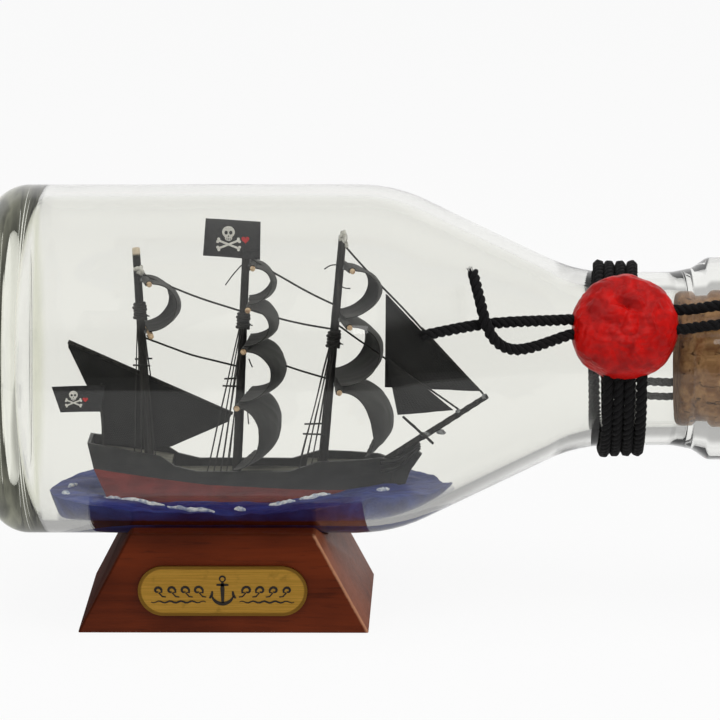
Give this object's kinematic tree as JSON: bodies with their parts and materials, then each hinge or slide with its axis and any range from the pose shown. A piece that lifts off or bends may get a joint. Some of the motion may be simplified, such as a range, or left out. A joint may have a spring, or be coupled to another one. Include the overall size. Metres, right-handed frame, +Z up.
{
  "type": "ship in a bottle",
  "caption": "Level glass bottle on a wooden cradle stand, with a three-masted model ship in a putty sea, a cork, a tied neck cord and a wax seal.",
  "frame": {"origin": "centre of the stand's underside", "axes": "+X along the bottle to the cork, +Z up, -Y is the side with the name plate"},
  "size_m": [0.1781, 0.076, 0.0933],
  "materials": {
    "stained_wood": "dark reddish-brown stain, satin",
    "brushed_brass": "brushed, with a thin lacquer",
    "clear_glass": "clear, with a faint grey-green tint where it is thick",
    "cork": "natural cork, pitted",
    "black_cord": "twisted black cord, matt",
    "red_wax": "sealing wax, satin gloss, lumpy",
    "blue_putty": "painted putty, satin, with white wave crests",
    "black_paint": "matt black paint on wood",
    "red_paint": "matt red paint on wood",
    "grey_deck": "weathered pale wood",
    "dark_spar": "black stained wood",
    "pale_wood": "black painted, with bare wood ends",
    "black_sailcloth": "stiffened black cloth with a fine weave",
    "black_thread": "waxed black thread",
    "printed_paper": "black printed paper"
  },
  "bodies": {
    "stand": {"stand_block": "stained_wood", "name_plate": "brushed_brass"},
    "bottle": {"glass_bottle": "clear_glass", "cork_stopper": "cork", "neck_cord_wraps": "black_cord", "cork_tie_cord": "black_cord", "cord_tail_long": "black_cord", "cord_tail_curled": "black_cord", "wax_seal": "red_wax", "putty_sea": "blue_putty", "hull_topsides": "black_paint", "hull_bottom": "red_paint", "beakhead": "black_paint", "quarter_deck": "grey_deck", "main_deck": "grey_deck", "forecastle_deck": "grey_deck", "mizzen_mast": "dark_spar", "main_mast": "dark_spar", "fore_mast": "dark_spar", "bowsprit": "dark_spar", "spritsail_yard": "dark_spar", "lateen_yard": "dark_spar", "mizzen_yards": "pale_wood", "main_yards": "pale_wood", "fore_yards": "pale_wood", "mizzen_topsail": "black_sailcloth", "main_royal": "black_sailcloth", "main_topgallant": "black_sailcloth", "main_topsail": "black_sailcloth", "main_course": "black_sailcloth", "fore_topgallant": "black_sailcloth", "fore_topsail": "black_sailcloth", "fore_course": "black_sailcloth", "lateen_sail": "black_sailcloth", "inner_jib": "black_sailcloth", "outer_jib": "black_sailcloth", "mizzen_shrouds": "black_thread", "main_shrouds": "black_thread", "fore_shrouds": "black_thread", "shroud_spreaders": "black_thread", "mast_lashings": "black_thread", "mizzen_stays": "black_thread", "main_stays": "black_thread", "head_stays": "black_thread", "masthead_flag": "printed_paper", "stern_flag": "printed_paper", "masthead_flag_staff": "dark_spar", "stern_flag_staff": "dark_spar"}
  },
  "joints": [
    {"name": "bottle_lift", "type": "slide", "parent": "stand", "child": "bottle", "axis": [0, 0, 1], "range_m": [0, 0.05]}
  ]
}
